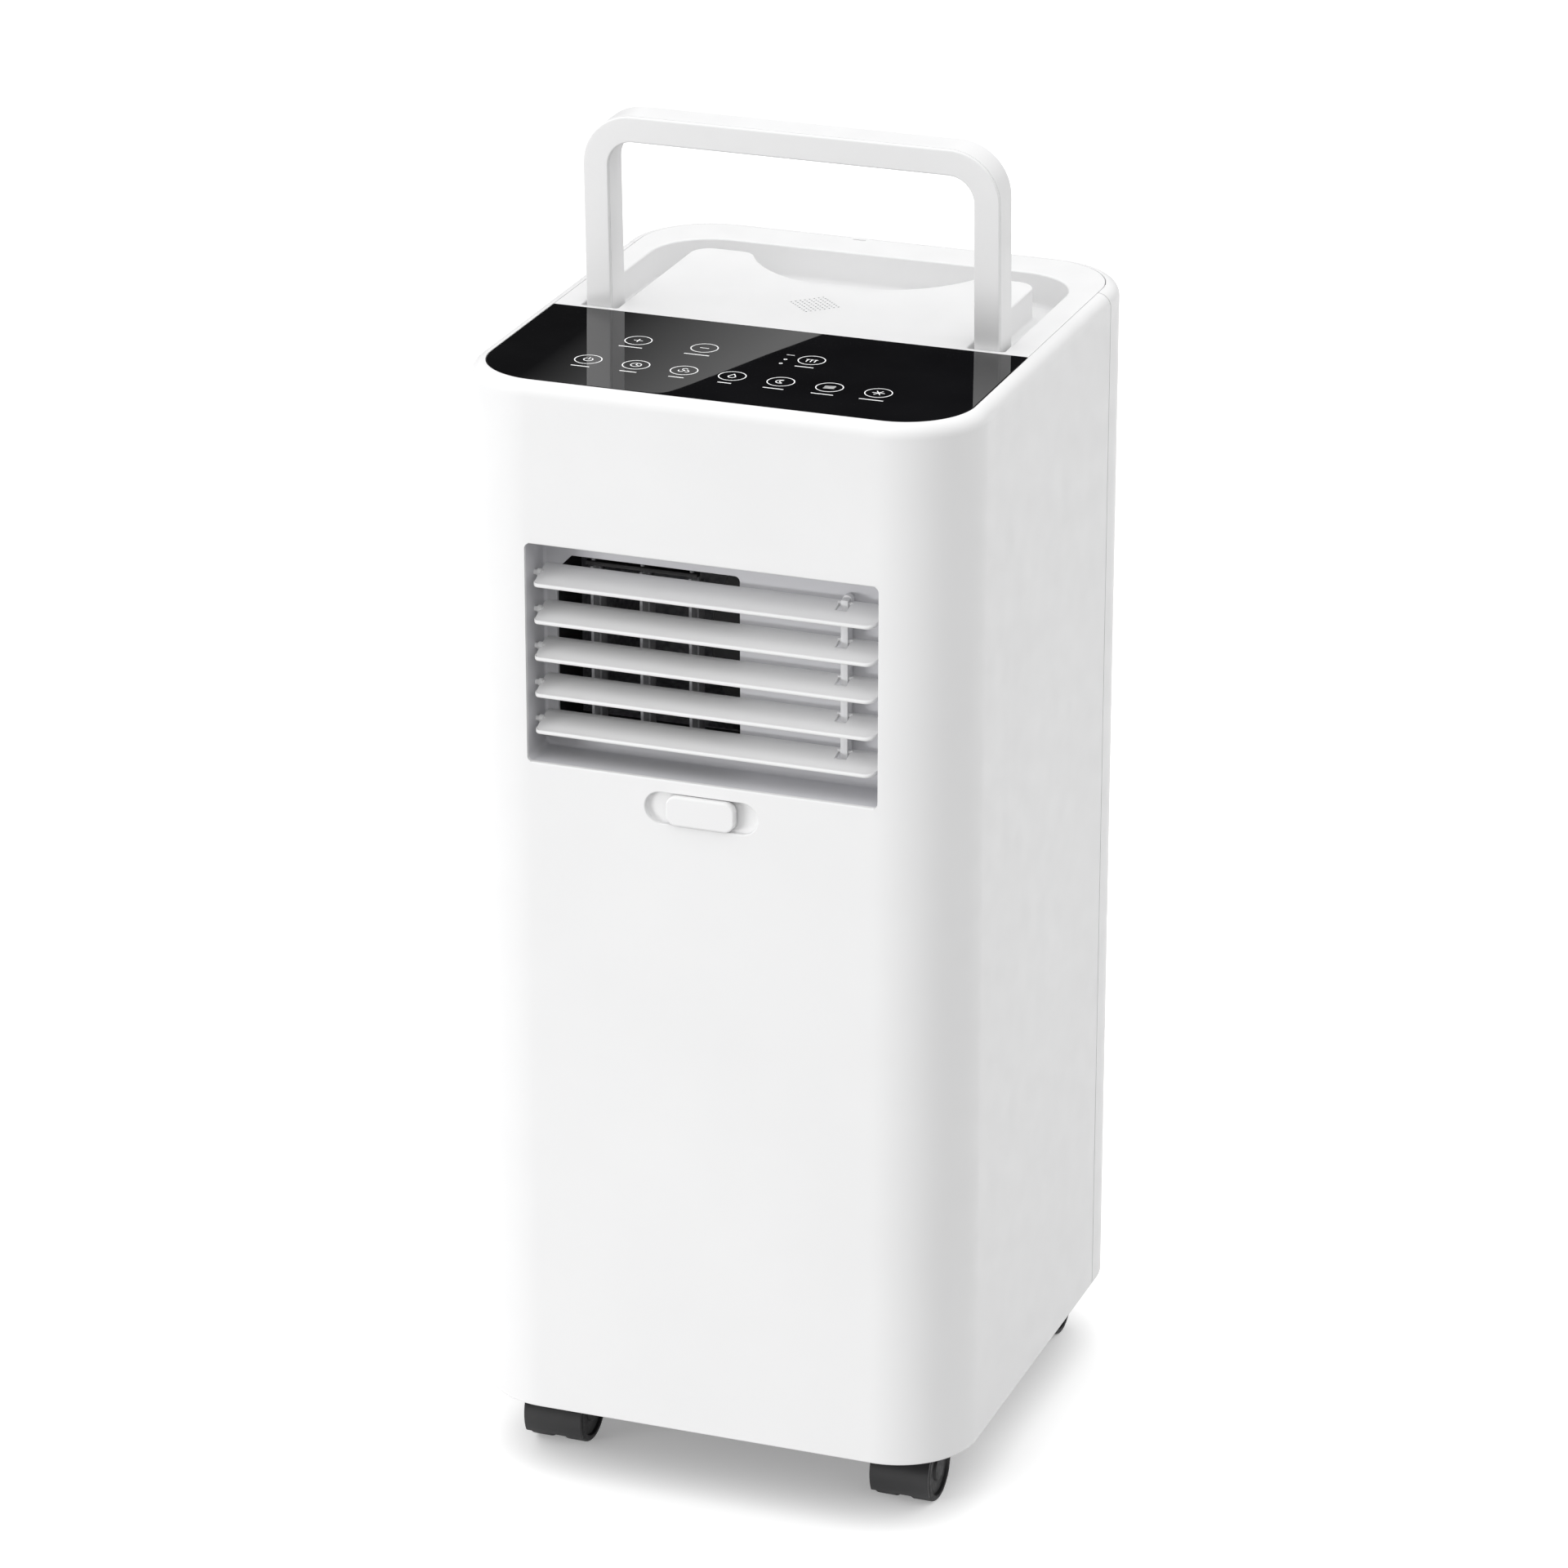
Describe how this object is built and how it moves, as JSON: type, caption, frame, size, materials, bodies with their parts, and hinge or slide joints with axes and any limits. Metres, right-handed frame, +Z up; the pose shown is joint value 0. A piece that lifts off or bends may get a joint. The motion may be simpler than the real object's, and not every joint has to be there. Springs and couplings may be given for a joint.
{
  "type": "portable air conditioner",
  "caption": "White tower-shaped portable air conditioner on casters, with a fold-down carrying handle, a black glass touch panel and a louvred front outlet.",
  "frame": {"origin": "on the floor under the middle of the casing and its rear collar", "axes": "+Z up, +X to the right as seen from the front, +Y from the front to the rear"},
  "size_m": [0.3, 0.331, 0.7866],
  "materials": {
    "white_plastic": "satin",
    "grey_plastic": "satin",
    "pale_plastic": "satin",
    "dark_plastic": "matte",
    "black_plastic": "satin",
    "foam_grey": "matte",
    "black_glass": "gloss",
    "circuit_board": "satin",
    "spring_steel": "bright",
    "steel": "satin",
    "galvanised_steel": "satin",
    "aluminium_fins": "satin",
    "black_paint": "satin",
    "black_rubber": "matte",
    "copper": "satin",
    "filter_mesh": "matte"
  },
  "bodies": {
    "root": {"front_shell": "white_plastic", "rear_cover": "white_plastic", "top_deck": "white_plastic", "glass_panel": "black_glass", "touch_board": "circuit_board", "touch_springs": "spring_steel", "sensor_grille": "pale_plastic", "hinge_pins": "steel", "vent_frame": "grey_plastic", "outlet_duct": "dark_plastic", "slider_track": "white_plastic", "base_tray": "dark_plastic", "chassis_posts": "galvanised_steel", "partition_plate": "foam_grey", "evap_volute": "foam_grey", "evap_motor": "steel", "evap_coil": "aluminium_fins", "cond_volute": "foam_grey", "cond_motor": "steel", "cond_coil": "aluminium_fins", "exhaust_duct": "foam_grey", "exhaust_collar": "grey_plastic", "compressor": "black_paint", "accumulator": "black_paint", "compressor_grommets": "black_rubber", "copper_pipes": "copper", "splash_motor": "steel", "board_box": "foam_grey", "main_board": "circuit_board", "intake_grille_upper": "white_plastic", "filter_upper": "filter_mesh", "intake_grille_lower": "white_plastic", "filter_lower": "filter_mesh", "drain_plugs": "black_rubber", "cord_gland": "black_rubber", "cover_screws": "steel"},
    "handle": {"handle_cover": "white_plastic", "handle_body": "white_plastic"},
    "tie_bar": {"louver_tie_bar": "pale_plastic"},
    "vane_link": {"vane_link": "dark_plastic"},
    "slider": {"slider_knob": "white_plastic"},
    "evap_fan": {"evap_fan": "dark_plastic"},
    "cond_fan": {"cond_fan": "dark_plastic"},
    "splash_wheel": {"splash_wheel": "foam_grey"},
    "louver_1": {"louver_1": "white_plastic"},
    "louver_2": {"louver_2": "white_plastic"},
    "louver_3": {"louver_3": "white_plastic"},
    "louver_4": {"louver_4": "white_plastic"},
    "louver_5": {"louver_5": "white_plastic"},
    "vane_1": {"vane_1": "pale_plastic"},
    "vane_2": {"vane_2": "pale_plastic"},
    "vane_3": {"vane_3": "pale_plastic"},
    "caster_fl": {"caster_hood_fl": "black_plastic"},
    "wheels_fl": {"caster_wheels_fl": "black_rubber"},
    "caster_fr": {"caster_hood_fr": "black_plastic"},
    "wheels_fr": {"caster_wheels_fr": "black_rubber"},
    "caster_rl": {"caster_hood_rl": "black_plastic"},
    "wheels_rl": {"caster_wheels_rl": "black_rubber"},
    "caster_rr": {"caster_hood_rr": "black_plastic"},
    "wheels_rr": {"caster_wheels_rr": "black_rubber"}
  },
  "joints": [
    {"name": "handle_fold", "type": "hinge", "parent": "root", "child": "handle", "pos_m": [0, -0.0025, 0.6595], "axis": [-1, 0, 0], "range_deg": [0, 92]},
    {"name": "louver_1_tilt", "type": "hinge", "parent": "root", "child": "louver_1", "pos_m": [0, -0.147, 0.5568], "axis": [1, 0, 0], "range_deg": [-42, 42]},
    {"name": "louver_2_tilt", "type": "hinge", "parent": "root", "child": "louver_2", "pos_m": [0, -0.147, 0.535], "axis": [1, 0, 0], "range_deg": [-42, 42]},
    {"name": "louver_3_tilt", "type": "hinge", "parent": "root", "child": "louver_3", "pos_m": [0, -0.147, 0.5132], "axis": [1, 0, 0], "range_deg": [-42, 42]},
    {"name": "louver_4_tilt", "type": "hinge", "parent": "root", "child": "louver_4", "pos_m": [0, -0.147, 0.4914], "axis": [1, 0, 0], "range_deg": [-42, 42]},
    {"name": "louver_5_tilt", "type": "hinge", "parent": "root", "child": "louver_5", "pos_m": [0, -0.147, 0.4696], "axis": [1, 0, 0], "range_deg": [-42, 42]},
    {"name": "tie_bar_swing", "type": "hinge", "parent": "louver_1", "child": "tie_bar", "pos_m": [0.077, -0.14031, 0.55885], "axis": [1, 0, 0], "range_deg": [-42, 42]},
    {"name": "slider_travel", "type": "slide", "parent": "root", "child": "slider", "axis": [1, 0, 0], "range_m": [-0.01, 0.01]},
    {"name": "vane_1_turn", "type": "hinge", "parent": "root", "child": "vane_1", "pos_m": [-0.0766, -0.121, 0.505], "axis": [0, 0, 1], "range_deg": [-30, 30]},
    {"name": "vane_2_turn", "type": "hinge", "parent": "root", "child": "vane_2", "pos_m": [-0.0473, -0.121, 0.505], "axis": [0, 0, 1], "range_deg": [-30, 30]},
    {"name": "vane_3_turn", "type": "hinge", "parent": "root", "child": "vane_3", "pos_m": [-0.018, -0.121, 0.505], "axis": [0, 0, 1], "range_deg": [-30, 30]},
    {"name": "vane_link_swing", "type": "hinge", "parent": "vane_2", "child": "vane_link", "pos_m": [-0.0473, -0.128, 0.559], "axis": [0, 0, 1], "range_deg": [-30, 30]},
    {"name": "caster_fl_swivel", "type": "hinge", "parent": "root", "child": "caster_fl", "pos_m": [-0.108, -0.115, 0.045], "axis": [0, 0, 1], "continuous": true},
    {"name": "wheels_fl_spin", "type": "hinge", "parent": "caster_fl", "child": "wheels_fl", "pos_m": [-0.108, -0.109, 0.02], "axis": [1, 0, 0], "continuous": true},
    {"name": "caster_fr_swivel", "type": "hinge", "parent": "root", "child": "caster_fr", "pos_m": [0.108, -0.115, 0.045], "axis": [0, 0, 1], "continuous": true},
    {"name": "wheels_fr_spin", "type": "hinge", "parent": "caster_fr", "child": "wheels_fr", "pos_m": [0.108, -0.109, 0.02], "axis": [1, 0, 0], "continuous": true},
    {"name": "caster_rl_swivel", "type": "hinge", "parent": "root", "child": "caster_rl", "pos_m": [-0.108, 0.115, 0.045], "axis": [0, 0, 1], "continuous": true},
    {"name": "wheels_rl_spin", "type": "hinge", "parent": "caster_rl", "child": "wheels_rl", "pos_m": [-0.108, 0.121, 0.02], "axis": [1, 0, 0], "continuous": true},
    {"name": "caster_rr_swivel", "type": "hinge", "parent": "root", "child": "caster_rr", "pos_m": [0.108, 0.115, 0.045], "axis": [0, 0, 1], "continuous": true},
    {"name": "wheels_rr_spin", "type": "hinge", "parent": "caster_rr", "child": "wheels_rr", "pos_m": [0.108, 0.121, 0.02], "axis": [1, 0, 0], "continuous": true},
    {"name": "evap_fan_spin", "type": "hinge", "parent": "root", "child": "evap_fan", "pos_m": [0.052, -0.05, 0.508], "axis": [0, 1, 0], "continuous": true},
    {"name": "cond_fan_spin", "type": "hinge", "parent": "root", "child": "cond_fan", "pos_m": [-0.068, 0.03, 0.318], "axis": [0, 1, 0], "continuous": true},
    {"name": "splash_wheel_spin", "type": "hinge", "parent": "root", "child": "splash_wheel", "pos_m": [-0.04, 0.103, 0.074], "axis": [0, 1, 0], "continuous": true}
  ],
  "couplings": [
    {"joint": "louver_2_tilt", "follows": "louver_1_tilt", "ratio": 1},
    {"joint": "louver_3_tilt", "follows": "louver_1_tilt", "ratio": 1},
    {"joint": "louver_4_tilt", "follows": "louver_1_tilt", "ratio": 1},
    {"joint": "louver_5_tilt", "follows": "louver_1_tilt", "ratio": 1},
    {"joint": "tie_bar_swing", "follows": "louver_1_tilt", "ratio": -1},
    {"joint": "vane_1_turn", "follows": "slider_travel", "rad_per_m": 52.35},
    {"joint": "vane_2_turn", "follows": "slider_travel", "rad_per_m": 52.35},
    {"joint": "vane_3_turn", "follows": "slider_travel", "rad_per_m": 52.35},
    {"joint": "vane_link_swing", "follows": "slider_travel", "rad_per_m": -52.35}
  ]
}
